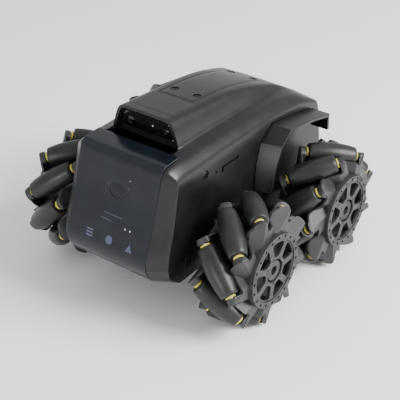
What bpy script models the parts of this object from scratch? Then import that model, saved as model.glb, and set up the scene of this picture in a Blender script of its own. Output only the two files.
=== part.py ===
"""A four-wheel mecanum robot: a leaning screen front, a hooded sensor, a ridged roof and rear fenders.

Metres, +Z up, +X to the robot's left, driving towards -Y. The origin is on the floor, below
the centre of the whole outline.
"""

import math

import bmesh
import bpy
from mathutils import Matrix, Vector

# Driving dimensions
WHEEL_RADIUS = 0.0485
WHEEL_BASE = 0.0995
WHEEL_MIDDLE_X = 0.0803
WHEEL_HALF_WIDTH = 0.023
AXLE_MIDDLE_Y = 0.0077
WALL = 0.0025
FIT_GAP = 0.0003

# Mecanum rollers: nine a wheel, each turned by 45 degrees
ROLLERS = 9
ROLLER_PITCH = math.tau / ROLLERS
ROLLER_RADIUS = 0.0088
ROLLER_HALF_LENGTH = 0.0188
ROLLER_CIRCLE = WHEEL_RADIUS - ROLLER_RADIUS
ROLLER_SIDES = 10
PIN_RADIUS = 0.0015
PIN_HALF_LENGTH = 0.0226
ROLLER_BORE = 0.0021

# One row a wheel: name, side along X, end along Y, roller hand, angle of its first roller
WHEELS = (
    ("fl", 1, -1, 1, math.radians(2.8)),
    ("rl", 1, 1, -1, math.radians(36.5)),
    ("fr", -1, -1, -1, math.radians(23.0)),
    ("rr", -1, 1, 1, math.radians(12.0)),
)

# Wheel hub: stations along its axis, outwards from the middle of the wheel, and radii
FACE = WHEEL_HALF_WIDTH
RING_RADIUS = 0.0287
RING_INNER_RADIUS = 0.0240
SKIRT_RADIUS = 0.0405
SKIRT_NEAR = 0.0190
SKIRT_FAR = 0.0212
BARREL_RADIUS = 0.0265
BARREL_INNER_RADIUS = 0.0232
WEB_NEAR = 0.0165
WEB_FAR = 0.0190
BOSS_RADIUS = 0.0078
BOSS_FAR = 0.0185
HUB_SIDES = 20
WINDOWS = 7
WINDOW_INNER_RADIUS = 0.0105
WINDOW_OUTER_RADIUS = 0.0222
SPOKE_ANGLE = math.radians(15.0)
LUG_AT = 0.0226
LUG_THICK = 0.0030
LUG_HALF_WIDTH = 0.0046
LUG_TIP = 0.0030
LUG_ROOT = 0.0155
LUG_ROOT_HALF_WIDTH = 0.0036
SHAFT_RADIUS = 0.0030
SHAFT_INNER_END = 0.0360
SHAFT_OUTER_END = 0.0884

# Front outline at the middle of the robot, from the chin's lower edge up the screen: (y, z)
CHIN_LOW = (-0.0843, 0.0345)
SCREEN_FOOT = (-0.1023, 0.0480)
SCREEN_LINE = (
    SCREEN_FOOT, (-0.1059, 0.0560), (-0.1017, 0.0700), (-0.0970, 0.0840), (-0.0923, 0.0985),
    (-0.0877, 0.1156), (-0.0853, 0.1245), (-0.0829, 0.1271), (-0.0800, 0.1284),
    (-0.0662, 0.1291),
)
CHIN_DEPTH = 0.0090
CHIN_NOTCH_DEPTH = 0.0060
SCREEN_HALF_WIDTH = 0.0370
SCREEN_THICK = 0.0024

# Plan outlines at rising heights: height, front y, corner y, side x, rear y
PLAN_LEVELS = (
    (0.0345, -0.0843, -0.0790, 0.0460, 0.1030),
    (0.0446, -0.0998, -0.0915, 0.0478, 0.1042),
    (0.0480, -0.1023, -0.0935, 0.0481, 0.1042),
    (0.0560, -0.1059, -0.0953, 0.0485, 0.1040),
    (0.0845, -0.0968, -0.0870, 0.0475, 0.1024),
    (0.1156, -0.0877, -0.0796, 0.0463, 0.0985),
    (0.1245, -0.0853, -0.0783, 0.0459, 0.0972),
    (0.1600, -0.0760, -0.0700, 0.0450, 0.0930),
)
SEAM_HEIGHT = 0.0560
FLOOR_HEIGHT = 0.0345

# Roof below the ridge: y, height inside the ledge, at the ledge's edge, and at the shoulder
ROOF_STATIONS = (
    (-0.1200, 0.1245, 0.1230, 0.1165),
    (-0.0853, 0.1245, 0.1230, 0.1165),
    (-0.0829, 0.1271, 0.1252, 0.1180),
    (-0.0800, 0.1284, 0.1263, 0.1190),
    (-0.0583, 0.1290, 0.1271, 0.1200),
    (0.0077, 0.1288, 0.1276, 0.1210),
    (0.0440, 0.1280, 0.1270, 0.1208),
    (0.0577, 0.1274, 0.1258, 0.1198),
    (0.0717, 0.1252, 0.1232, 0.1183),
    (0.0840, 0.1212, 0.1190, 0.1158),
    (0.0980, 0.1124, 0.1112, 0.1100),
    (0.1150, 0.1020, 0.1010, 0.1000),
)
LEDGE_INNER_X = 0.0300
LEDGE_OUTER_X = 0.0390
SHOULDER_X = 0.0458
ROOF_HALF_SPAN = 0.0600
ROOF_SKIRT_DROP = 0.0600

# Ridge along the roof: y, height of its middle, half-width of its top
RIDGE_STATIONS = (
    (-0.0583, 0.1497, 0.0197),
    (-0.0233, 0.1473, 0.0200),
    (0.0108, 0.1447, 0.0205),
    (0.0370, 0.1400, 0.0212),
    (0.0547, 0.1350, 0.0220),
    (0.0727, 0.1282, 0.0232),
    (0.0870, 0.1188, 0.0245),
)
RIDGE_ARCH = 0.0004
RIDGE_WALL = 0.0040
RIDGE_FOOT_DROP = 0.0012
HOOD_FRONT_Y = RIDGE_STATIONS[0][0]

# Hatch let into the ridge
HATCH_FRONT_Y = -0.0233
HATCH_REAR_Y = 0.0637
HATCH_HALF_WIDTH = 0.0155
HATCH_THICK = 0.0022

# Rear fenders: outline over the wheel (y, z), then the flange that hangs at its rear end
FENDER_LINE = (
    (0.0090, 0.0720), (0.0120, 0.0920), (0.0182, 0.1070), (0.0342, 0.1162),
    (0.0637, 0.1124), (0.0900, 0.1070),
)
FENDER_OUTER_X = 0.0635
FENDER_THICK = 0.0028
FLANGE_DROP = 0.0135
FENDER_GAP = 0.0005

# Rear panel: half-width and height of its corners above its straight sides, and its depth
REAR_PANEL_TOP = ((0.0370, 0.1068), (0.0280, 0.1082))
REAR_PANEL_SHOULDER = 0.1020
REAR_PANEL_NEAR = 0.0010
REAR_PANEL_FAR = 0.0035

# Inner pieces
MOTOR_RADIUS = 0.0108
MOTOR_CAN_RADIUS = 0.0095
MOTOR_INNER_X = 0.0060
MOTOR_SPLIT_X = 0.0260
MOTOR_OUTER_X = 0.0436
MOTOR_BORE = 0.0036
SHAFT_HOLE = 0.0042
BATTERY_SIZE = (0.0560, 0.0680, 0.0190)
BOARD_SIZE = (0.0700, 0.0850, 0.0016)
BOARD_HEIGHT = 0.0700
POST_RADIUS = 0.0024
POST_AT = (0.0315, 0.0350)
# Blocks on the board: name, lowest x and y, highest x and y, height
BOARD_BLOCKS = (
    ("board_chip", (-0.014, -0.008), (0.014, 0.020), 0.006),
    ("board_plugs", (0.018, -0.024), (0.033, 0.034), 0.012),
    ("board_sockets", (-0.033, -0.020), (-0.022, 0.038), 0.008),
)
DISPLAY_HALF_WIDTH = 0.0330
DISPLAY_GAP = 0.0010
DISPLAY_THICK = 0.0050
DISPLAY_SPAN = (0.0600, 0.1200)
SENSOR_HALF_WIDTH = 0.0175
SENSOR_FRONT_Y = HOOD_FRONT_Y + 0.0070
SENSOR_DEPTH = 0.0110
SENSOR_LOW = 0.1305
SENSOR_HIGH = 0.1420
LENS_RADIUS = 0.0042
LENS_X = 0.0110
LENS_PROUD = 0.0025

# Cutters reach this far past everything, and joined solids this far into each other
FAR = 0.2000
BITE = 0.0005

MATERIALS = {
    "shell_black": ((0.020, 0.021, 0.023), 0.38, 0.0),
    "chassis_black": ((0.015, 0.015, 0.016), 0.50, 0.0),
    "smoked_panel": ((0.010, 0.011, 0.014), 0.08, 0.0),
    "wheel_nylon": ((0.030, 0.030, 0.031), 0.48, 0.0),
    "roller_rubber": ((0.022, 0.022, 0.022), 0.55, 0.0),
    "motor_steel": ((0.450, 0.450, 0.460), 0.35, 1.0),
    "circuit_green": ((0.020, 0.110, 0.050), 0.45, 0.0),
    "battery_wrap": ((0.030, 0.090, 0.260), 0.40, 0.0),
}


def clear_scene():
    for obj in list(bpy.data.objects):
        bpy.data.objects.remove(obj, do_unlink=True)


def new_collection(name, shown=True):
    collection = bpy.data.collections.new(name)
    bpy.context.scene.collection.children.link(collection)
    collection.hide_render = not shown
    return collection


def make_material(name):
    colour, roughness, metallic = MATERIALS[name]
    material = bpy.data.materials.new(name)
    material.use_nodes = True
    shader = material.node_tree.nodes["Principled BSDF"]
    shader.inputs["Base Color"].default_value = (*colour, 1.0)
    shader.inputs["Roughness"].default_value = roughness
    shader.inputs["Metallic"].default_value = metallic
    return material


def add_object(name, bm, collection, material=None):
    bmesh.ops.recalc_face_normals(bm, faces=bm.faces)
    mesh = bpy.data.meshes.new(name)
    bm.to_mesh(mesh)
    bm.free()
    obj = bpy.data.objects.new(name, mesh)
    collection.objects.link(obj)
    if material:
        mesh.materials.append(material)
    else:
        obj.hide_render = True
        obj.display_type = "WIRE"
    return obj


def smooth(obj, angle=math.radians(35)):
    obj.data.shade_smooth()
    obj.data.set_sharp_from_angle(angle=angle)
    return obj


def boolean(obj, other, operation="DIFFERENCE"):
    modifier = obj.modifiers.new(f"{operation.lower()}_{other.name}", "BOOLEAN")
    modifier.operation = operation
    modifier.solver = "EXACT"
    modifier.object = other
    return obj


def loft(rings):
    """A closed body through rings of equal count, with flat ends."""
    bm = bmesh.new()
    rows = [[bm.verts.new(point) for point in ring] for ring in rings]
    count = len(rows[0])
    for low, high in zip(rows, rows[1:]):
        for i in range(count):
            j = (i + 1) % count
            bm.faces.new((low[i], low[j], high[j], high[i]))
    bm.faces.new(rows[0])
    bm.faces.new(rows[-1])
    return bm


def add_box(bm, low, high):
    size = [b - a for a, b in zip(low, high)]
    middle = [(a + b) / 2 for a, b in zip(low, high)]
    matrix = Matrix.Translation(middle) @ Matrix.Diagonal((*size, 1.0))
    bmesh.ops.create_cube(bm, size=1.0, matrix=matrix)


def box(low, high):
    bm = bmesh.new()
    add_box(bm, low, high)
    return bm


def add_cylinder(bm, radius, start, end, sides):
    start, end = Vector(start), Vector(end)
    turn = (end - start).to_track_quat("Z", "Y").to_matrix().to_4x4()
    bmesh.ops.create_cone(
        bm, cap_ends=True, segments=sides, radius1=radius, radius2=radius,
        depth=(end - start).length, matrix=Matrix.Translation((start + end) / 2) @ turn,
    )


def cylinder(radius, start, end, sides=12):
    bm = bmesh.new()
    add_cylinder(bm, radius, start, end, sides)
    return bm


def at(table, key, column):
    """The value of a column of a table at a place along its first column."""
    rows = sorted(table)
    key = min(max(key, rows[0][0]), rows[-1][0])
    for low, high in zip(rows, rows[1:]):
        if key <= high[0]:
            share = (key - low[0]) / (high[0] - low[0])
            return low[column] + share * (high[column] - low[column])
    return rows[-1][column]


def side_x(height):
    return at(PLAN_LEVELS, height, 3)


def offset_line(line, distance):
    """The (y, z) points of a line moved to its right-hand side, mitred at its corners."""
    moved = []
    for i, point in enumerate(line):
        before = Vector(line[max(i - 1, 0)])
        after = Vector(line[min(i + 1, len(line) - 1)])
        here = Vector(point)
        first = (here - before).normalized() if i else (after - here).normalized()
        second = (after - here).normalized() if i < len(line) - 1 else first
        normal = Vector((first.y + second.y, -first.x - second.x)).normalized()
        cosine = normal.dot(Vector((first.y, -first.x)))
        moved.append(tuple(here + normal * distance / max(cosine, 0.5)))
    return moved


def strip(line, near, far, half_width):
    """A bent plate across X: a (y, z) line thickened from one offset to another."""
    outline = offset_line(line, near) + offset_line(line, far)[::-1]
    return loft([[(x, y, z) for y, z in outline] for x in (-half_width, half_width)])


def plan_body(inset, low, rear_extra=0.0):
    """The body's outline in plan, lofted upwards from a height and moved in by an inset."""
    rings = []
    levels = [row for row in PLAN_LEVELS if row[0] > low]
    base = (low, *(at(PLAN_LEVELS, low, column) for column in (1, 2, 3, 4)))
    for height, front, corner, side, rear in (base, *levels):
        half_front = SCREEN_HALF_WIDTH - 0.4 * inset
        x = side - inset
        y = rear - inset + rear_extra
        rings.append([
            (half_front, front + inset, height), (x, corner + 0.8 * inset, height),
            (x, y, height), (-x, y, height), (-x, corner + 0.8 * inset, height),
            (-half_front, front + inset, height),
        ])
    return loft(rings)


def roof_body(inset):
    """The roof without its ridge, closed below, as sections from front to rear."""
    rings = []
    for y, inner, edge, shoulder in ROOF_STATIONS:
        half = [
            (LEDGE_INNER_X, inner - inset), (LEDGE_OUTER_X - 0.4 * inset, edge - inset),
            (SHOULDER_X - 0.8 * inset, shoulder - inset),
            (ROOF_HALF_SPAN, shoulder - inset - ROOF_SKIRT_DROP / 3),
            (ROOF_HALF_SPAN, 0.0),
        ]
        section = half + [(-x, z) for x, z in reversed(half)]
        rings.append([(x, y, z) for x, z in section])
    return loft(rings)


def ridge_section(y, middle, top_half, inset, foot_drop):
    """Right half of the ridge's section, from its middle out to its foot."""
    foot_z = at(ROOF_STATIONS, y, 1)
    rise = middle - foot_z
    spread = LEDGE_INNER_X - top_half
    return [
        (top_half - inset * 0.8, middle - RIDGE_ARCH - inset),
        (top_half + 0.42 * spread - inset, foot_z + 0.84 * rise - 0.6 * inset),
        (top_half + 0.71 * spread - inset, foot_z + 0.52 * rise),
        (LEDGE_INNER_X - inset, foot_z - foot_drop),
        (LEDGE_INNER_X - inset, foot_z - 2 * foot_drop - 0.002),
    ]


def ridge_body(inset, front_extra, foot_drop):
    rings = []
    for i, (y, middle, top_half) in enumerate(RIDGE_STATIONS):
        place = y - (front_extra if i == 0 else 0.0)
        half = ridge_section(y, middle, top_half, inset, foot_drop)
        section = half + [(-x, z) for x, z in reversed(half)] + [(0.0, middle - inset)]
        rings.append([(x, place, z) for x, z in section])
    return loft(rings)


def build_shell(parts, cutters, material):
    """Roof, ridge, hood and side walls in one thin moulding, open at front, rear and below."""
    shell = add_object("upper_shell", plan_body(0.0, SEAM_HEIGHT + FIT_GAP / 2), parts, material)
    boolean(shell, add_object("roof_limit", roof_body(0.0), cutters), "INTERSECT")
    boolean(shell, add_object("ridge", ridge_body(0.0, 0.0, RIDGE_FOOT_DROP), cutters), "UNION")
    hollow = add_object("hollow", plan_body(WALL, SEAM_HEIGHT - 0.010, 0.020), cutters)
    boolean(hollow, add_object("hollow_roof", roof_body(WALL), cutters), "INTERSECT")
    inner_ridge = add_object("hollow_ridge", ridge_body(RIDGE_WALL, 0.010, 5 * RIDGE_FOOT_DROP), cutters)
    boolean(shell, hollow)
    boolean(shell, inner_ridge)
    screen_hole = box(
        (-SCREEN_HALF_WIDTH, -FAR, 0.0), (SCREEN_HALF_WIDTH, HOOD_FRONT_Y - 0.0010, FAR)
    )
    boolean(shell, add_object("screen_hole", screen_hole, cutters))
    gap = FIT_GAP
    hatch_hole = box(
        (-HATCH_HALF_WIDTH - gap, HATCH_FRONT_Y - gap, 0.120),
        (HATCH_HALF_WIDTH + gap, HATCH_REAR_Y + gap, FAR),
    )
    boolean(shell, add_object("hatch_hole", hatch_hole, cutters))
    return smooth(shell, math.radians(25))


def build_screen(parts, material):
    """The smoked panel: it leans back, tucks under at the foot and rolls over the top."""
    bm = strip(SCREEN_LINE, 0.0, SCREEN_THICK, SCREEN_HALF_WIDTH - FIT_GAP)
    return smooth(add_object("front_window", bm, parts, material), math.radians(30))


def build_hatch(parts, material):
    rows = [(HATCH_FRONT_Y, at(RIDGE_STATIONS, HATCH_FRONT_Y, 1))]
    rows += [(y, z) for y, z, _ in RIDGE_STATIONS if HATCH_FRONT_Y < y < HATCH_REAR_Y]
    rows += [(HATCH_REAR_Y, at(RIDGE_STATIONS, HATCH_REAR_Y, 1))]
    line = [(y, z - RIDGE_ARCH / 2) for y, z in rows]
    bm = strip(line, 0.0, HATCH_THICK, HATCH_HALF_WIDTH)
    return smooth(add_object("top_hatch", bm, parts, material))


def build_chassis(parts, cutters, material):
    """The lower tub and the chin in front of it, cut from the body's lower outline."""
    split_y = CHIN_LOW[0] + CHIN_DEPTH
    lid = add_object(
        "above_seam", box((-FAR, -FAR, SEAM_HEIGHT - FIT_GAP / 2), (FAR, FAR, FAR)), cutters
    )
    tub = add_object("chassis_tub", plan_body(0.0, FLOOR_HEIGHT), parts, material)
    boolean(tub, lid)
    ahead = box((-FAR, -FAR, 0.0), (FAR, split_y + FIT_GAP / 2, FAR))
    boolean(tub, add_object("ahead_of_tub", ahead, cutters))
    inside = add_object("tub_inside", plan_body(WALL, FLOOR_HEIGHT + 0.0022), cutters)
    boolean(tub, inside)
    for name, side, end, _, _ in WHEELS:
        y = AXLE_MIDDLE_Y + end * WHEEL_BASE / 2
        hole = cylinder(
            SHAFT_HOLE, (side * 0.040, y, WHEEL_RADIUS), (side * 0.055, y, WHEEL_RADIUS)
        )
        boolean(tub, add_object(f"shaft_hole_{name}", hole, cutters))

    chin = add_object("chin_bumper", plan_body(0.0, FLOOR_HEIGHT), parts, material)
    boolean(chin, lid)
    behind = box((-FAR, split_y - FIT_GAP / 2, 0.0), (FAR, FAR, FAR))
    boolean(chin, add_object("behind_chin", behind, cutters))
    notch = box(
        (-SCREEN_HALF_WIDTH, -FAR, SCREEN_FOOT[1] - FIT_GAP),
        (SCREEN_HALF_WIDTH, SCREEN_FOOT[0] + CHIN_NOTCH_DEPTH, FAR),
    )
    boolean(chin, add_object("screen_notch", notch, cutters))
    boolean(chin, inside)
    return tub, chin


def build_rear_panel(parts, material):
    """Closes the rear of the shell, leaning with its rear edges."""
    low = SEAM_HEIGHT + FIT_GAP
    section = []
    for height in (low, (low + REAR_PANEL_SHOULDER) / 2, REAR_PANEL_SHOULDER):
        section.append((side_x(height) - WALL - FIT_GAP, height))
    section += REAR_PANEL_TOP
    section += [(-x, z) for x, z in reversed(section)]
    rings = []
    for depth in (REAR_PANEL_FAR, REAR_PANEL_NEAR):
        rings.append([(x, at(PLAN_LEVELS, z, 4) - depth, z) for x, z in section])
    return add_object("rear_panel", loft(rings), parts, material)


def build_fender(name, side, parts, material):
    """A bent band over a rear wheel, flanged downwards at its rear end."""
    rear_y, rear_z = FENDER_LINE[-1]
    line = [*FENDER_LINE, (rear_y + 0.0004, rear_z - FLANGE_DROP)]
    outline = line + offset_line(line, FENDER_THICK)[::-1]
    inner = [(side * (side_x(z) + FENDER_GAP), y, z) for y, z in outline]
    outer = [(side * FENDER_OUTER_X, y, z) for y, z in outline]
    return add_object(name, loft([inner, outer]), parts, material)


def build_motor(name, side, end, parts, cutters, material):
    y = AXLE_MIDDLE_Y + end * WHEEL_BASE / 2
    z = WHEEL_RADIUS
    motor = add_object(
        f"gearmotor_{name}",
        cylinder(MOTOR_RADIUS, (side * MOTOR_SPLIT_X, y, z), (side * MOTOR_OUTER_X, y, z), 16),
        parts, material,
    )
    can = cylinder(
        MOTOR_CAN_RADIUS, (side * MOTOR_INNER_X, y, z), (side * (MOTOR_SPLIT_X + 0.001), y, z), 16
    )
    boolean(motor, add_object(f"motor_can_{name}", can, cutters), "UNION")
    bore = cylinder(
        MOTOR_BORE, (side * (SHAFT_INNER_END - 0.001), y, z), (side * 0.050, y, z), 12
    )
    boolean(motor, add_object(f"motor_bore_{name}", bore, cutters))
    return smooth(motor)


def build_inside(parts, cutters, materials):
    """Battery, circuit board on its posts, display and sensor unit."""
    width, length, height = BATTERY_SIZE
    low = FLOOR_HEIGHT + WALL + 0.0004
    battery = box(
        (-width / 2, AXLE_MIDDLE_Y - length / 2, low),
        (width / 2, AXLE_MIDDLE_Y + length / 2, low + height),
    )
    add_object("battery_pack", battery, parts, materials["battery_wrap"])

    width, length, thick = BOARD_SIZE
    top = BOARD_HEIGHT + thick
    board = add_object(
        "main_board",
        box((-width / 2, AXLE_MIDDLE_Y - length / 2, BOARD_HEIGHT),
            (width / 2, AXLE_MIDDLE_Y + length / 2, top)),
        parts, materials["circuit_green"],
    )
    extras = {}
    for name, near, beyond, tall in BOARD_BLOCKS:
        extras[name] = box((*near, top - BITE), (*beyond, top + tall))
    for x in (-1, 1):
        for y in (-1, 1):
            place = (x * POST_AT[0], AXLE_MIDDLE_Y + y * POST_AT[1])
            extras[f"board_post_{x}_{y}"] = cylinder(
                POST_RADIUS, (*place, low), (*place, BOARD_HEIGHT + BITE), 8
            )
    for name, bm in extras.items():
        boolean(board, add_object(name, bm, cutters), "UNION")

    near = SCREEN_THICK + DISPLAY_GAP
    line = [(y, z) for y, z in SCREEN_LINE if DISPLAY_SPAN[0] < z < DISPLAY_SPAN[1]]
    display = strip(line, near, near + DISPLAY_THICK, DISPLAY_HALF_WIDTH)
    add_object("display_module", display, parts, materials["smoked_panel"])

    unit = box(
        (-SENSOR_HALF_WIDTH, SENSOR_FRONT_Y, SENSOR_LOW),
        (SENSOR_HALF_WIDTH, SENSOR_FRONT_Y + SENSOR_DEPTH, SENSOR_HIGH),
    )
    sensor = add_object("sensor_module", unit, parts, materials["smoked_panel"])
    middle = (SENSOR_LOW + SENSOR_HIGH) / 2
    for name, x in (("lens_a", -LENS_X), ("lens_b", LENS_X)):
        lens = cylinder(
            LENS_RADIUS, (x, SENSOR_FRONT_Y - LENS_PROUD, middle),
            (x, SENSOR_FRONT_Y + BITE, middle),
        )
        boolean(sensor, add_object(name, lens, cutters), "UNION")


def wheel_point(radius, angle, along):
    """A point in a wheel's own frame, whose X is the wheel's axis."""
    return Vector((along, radius * math.cos(angle), radius * math.sin(angle)))


def roller_axis(angle, hand):
    """Unit axis of the roller at an angle round the wheel."""
    tangent = Vector((0.0, -math.sin(angle), math.cos(angle)))
    return (Vector((1.0, 0.0, 0.0)) + hand * tangent).normalized()


def turned(profile, sides, phase=0.0):
    """A body turned about X through (radius, along) points that close on themselves."""
    bm = bmesh.new()
    rows = []
    for i in range(sides):
        angle = phase + math.tau * i / sides
        rows.append([bm.verts.new(wheel_point(radius, angle, along)) for radius, along in profile])
    for i, row in enumerate(rows):
        following = rows[(i + 1) % sides]
        for j in range(len(profile)):
            k = (j + 1) % len(profile)
            bm.faces.new((row[j], row[k], following[k], following[j]))
    return bm


def roller_radius(along):
    """Barrel profile that keeps the whole wheel round."""
    return WHEEL_RADIUS - math.hypot(ROLLER_CIRCLE, along / math.sqrt(2))


def roller_mesh():
    """A barrel turned about its own X axis, bored through for its pin."""
    half = ROLLER_HALF_LENGTH
    profile = [(roller_radius(t), t) for t in (-half, -half / 2, 0.0, half / 2, half)]
    profile += [(ROLLER_BORE, half), (ROLLER_BORE, -half)]
    return turned(profile, ROLLER_SIDES, math.pi / 2)


def lug(angle, hand, outward):
    """A paddle square to a roller's axis that carries one end of its pin."""
    axis = roller_axis(angle, hand) * outward
    centre = wheel_point(ROLLER_CIRCLE, angle, 0.0) + axis * LUG_AT
    radial = Vector((0.0, centre.y, centre.z)).normalized()
    up = (radial - axis * radial.dot(axis)).normalized()
    across = axis.cross(up)
    outline = (
        (-LUG_ROOT_HALF_WIDTH, -LUG_ROOT), (LUG_ROOT_HALF_WIDTH, -LUG_ROOT),
        (LUG_HALF_WIDTH, 0.0), (LUG_HALF_WIDTH / 2, LUG_TIP),
        (-LUG_HALF_WIDTH / 2, LUG_TIP), (-LUG_HALF_WIDTH, 0.0),
    )
    rings = []
    for side in (-1, 1):
        face = centre + axis * side * LUG_THICK / 2
        rings.append([face + across * x + up * y for x, y in outline])
    return loft(rings)


def window_cutter(index):
    """One opening between two spokes, as a short run of an annulus."""
    middle = math.tau * index / WINDOWS
    half_outer = math.pi / WINDOWS - SPOKE_ANGLE / 2
    half_inner = half_outer - SPOKE_ANGLE / 2
    rings = []
    for along in (WEB_NEAR - 0.002, FACE + 0.002):
        ring = [wheel_point(WINDOW_INNER_RADIUS, middle + half_inner * i, along) for i in (-1, 1)]
        ring += [wheel_point(WINDOW_OUTER_RADIUS, middle + half_outer * i, along) for i in (1, 0, -1)]
        rings.append(ring)
    return loft(rings)


def hub_profile():
    """Barrel, outer ring, skirt, recessed web and closed inner plate, as (radius, along)."""
    inner_plate = -SKIRT_FAR
    return [
        (SHAFT_RADIUS / 2, inner_plate), (SKIRT_RADIUS, inner_plate),
        (SKIRT_RADIUS, -SKIRT_NEAR), (BARREL_RADIUS, -SKIRT_NEAR),
        (BARREL_RADIUS, SKIRT_NEAR), (SKIRT_RADIUS, SKIRT_NEAR), (SKIRT_RADIUS, SKIRT_FAR - 0.0004),
        (RING_RADIUS, SKIRT_FAR), (RING_RADIUS, FACE), (RING_INNER_RADIUS, FACE),
        (RING_INNER_RADIUS, WEB_FAR), (SHAFT_RADIUS / 2, WEB_FAR),
        (SHAFT_RADIUS / 2, WEB_NEAR), (BARREL_INNER_RADIUS, WEB_NEAR),
        (BARREL_INNER_RADIUS, -SKIRT_NEAR + 0.0004), (SHAFT_RADIUS / 2, -SKIRT_NEAR + 0.0004),
    ]


def build_wheel(name, side, end, hand, phase, parts, cutters, materials):
    """One hub with its plates, lugs and pins, its steel shaft, and its nine free rollers."""
    centre = Vector((side * WHEEL_MIDDLE_X, AXLE_MIDDLE_Y + end * WHEEL_BASE / 2, WHEEL_RADIUS))
    carrier = bpy.data.objects.new(f"wheel_{name}_axis", None)
    carrier.location = centre
    parts.objects.link(carrier)

    # The profile runs outwards along +X, so the wheels at -X are turned about Z.
    profile = [(radius, along * side) for radius, along in hub_profile()]
    hub = add_object(f"wheel_hub_{name}", turned(profile, HUB_SIDES, phase), parts,
                     materials["wheel_nylon"])
    hub.parent = carrier
    helpers = [("boss", "UNION", cylinder(
        BOSS_RADIUS, (-side * (SKIRT_FAR + 0.001), 0, 0), (side * BOSS_FAR, 0, 0), 14))]
    bore = cylinder(SHAFT_RADIUS + FIT_GAP, (-side * 0.030, 0, 0), (side * 0.030, 0, 0), 12)
    helpers.append(("bore", "DIFFERENCE", bore))
    for i in range(WINDOWS):
        bm = window_cutter(i)
        if side < 0:
            bmesh.ops.transform(bm, matrix=Matrix.Rotation(math.pi, 4, "Z"), verts=bm.verts)
        helpers.append((f"window_{i}", "DIFFERENCE", bm))
    for i in range(ROLLERS):
        angle = phase + i * ROLLER_PITCH
        for outward in (-1, 1):
            helpers.append((f"lug_{i}_{outward}", "UNION", lug(angle, hand, outward)))
        middle = wheel_point(ROLLER_CIRCLE, angle, 0.0)
        reach = roller_axis(angle, hand) * PIN_HALF_LENGTH
        helpers.append((f"pin_{i}", "UNION", cylinder(PIN_RADIUS, middle - reach, middle + reach, 6)))
    for label, operation, bm in helpers:
        helper = add_object(f"{name}_{label}", bm, cutters)
        helper.parent = carrier
        boolean(hub, helper, operation)
    smooth(hub)

    reach = [(side * (x - WHEEL_MIDDLE_X), 0, 0) for x in (SHAFT_INNER_END, SHAFT_OUTER_END)]
    shaft = add_object(f"drive_shaft_{name}", cylinder(SHAFT_RADIUS, *reach), parts,
                       materials["motor_steel"])
    shaft.parent = carrier
    smooth(shaft)

    for i in range(ROLLERS):
        angle = phase + i * ROLLER_PITCH
        roller = add_object(f"roller_{name}_{i + 1:02d}", roller_mesh(), parts,
                            materials["roller_rubber"])
        axis = roller_axis(angle, hand)
        radial = wheel_point(1.0, angle, 0.0)
        turn = Matrix((axis, radial.cross(axis), radial)).transposed()
        roller.matrix_local = Matrix.Translation(radial * ROLLER_CIRCLE) @ turn.to_4x4()
        roller.parent = carrier
        smooth(roller)


def main():
    clear_scene()
    parts = new_collection("mecanum_robot")
    cutters = new_collection("cutters", shown=False)
    materials = {name: make_material(name) for name in MATERIALS}
    build_shell(parts, cutters, materials["shell_black"])
    build_screen(parts, materials["smoked_panel"])
    build_hatch(parts, materials["shell_black"])
    build_chassis(parts, cutters, materials["chassis_black"])
    build_rear_panel(parts, materials["chassis_black"])
    build_fender("fender_left", 1, parts, materials["shell_black"])
    build_fender("fender_right", -1, parts, materials["shell_black"])
    build_inside(parts, cutters, materials)
    for name, side, end, hand, phase in WHEELS:
        build_motor(name, side, end, parts, cutters, materials["motor_steel"])
        build_wheel(name, side, end, hand, phase, parts, cutters, materials)


main()
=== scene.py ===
import math

import bmesh
import bpy
from mathutils import Matrix, Vector


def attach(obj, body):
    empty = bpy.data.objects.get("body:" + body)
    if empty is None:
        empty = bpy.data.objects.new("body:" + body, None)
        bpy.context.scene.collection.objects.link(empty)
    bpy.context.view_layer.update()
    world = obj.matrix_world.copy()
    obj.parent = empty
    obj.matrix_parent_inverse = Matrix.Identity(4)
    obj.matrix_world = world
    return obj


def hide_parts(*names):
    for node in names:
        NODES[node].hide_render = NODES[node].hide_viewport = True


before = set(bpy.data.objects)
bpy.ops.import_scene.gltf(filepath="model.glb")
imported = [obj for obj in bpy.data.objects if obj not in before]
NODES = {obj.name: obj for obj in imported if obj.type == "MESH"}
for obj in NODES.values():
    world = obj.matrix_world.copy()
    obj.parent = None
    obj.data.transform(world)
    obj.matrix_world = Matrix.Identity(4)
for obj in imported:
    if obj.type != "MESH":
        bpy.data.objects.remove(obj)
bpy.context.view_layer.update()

# The looks of a four-wheeled mecanum robot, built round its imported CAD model.
# Metres, +Z up, the robot's front towards -Y. Each piece rides on a CAD body.

# Camera
CAMERA_TARGET = Vector((0.0, 0.00575, 0.04544))
CAMERA_AZIMUTH = math.radians(37.107)
CAMERA_ELEVATION = math.radians(31.842)
CAMERA_DISTANCE = 0.83897
CAMERA_LENS = 95.76
CAMERA_SENSOR = 36.0

# Setting; each light: name, place, diameter, watts
WORLD_STRENGTH = 0.95
FLOOR_REACH = 4.0
LIGHTS = (
    ("key", (1.30, 0.38, 1.02), 1.00, 58.0),
    ("front", (0.12, -1.70, 0.38), 0.45, 9.0),
)

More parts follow.
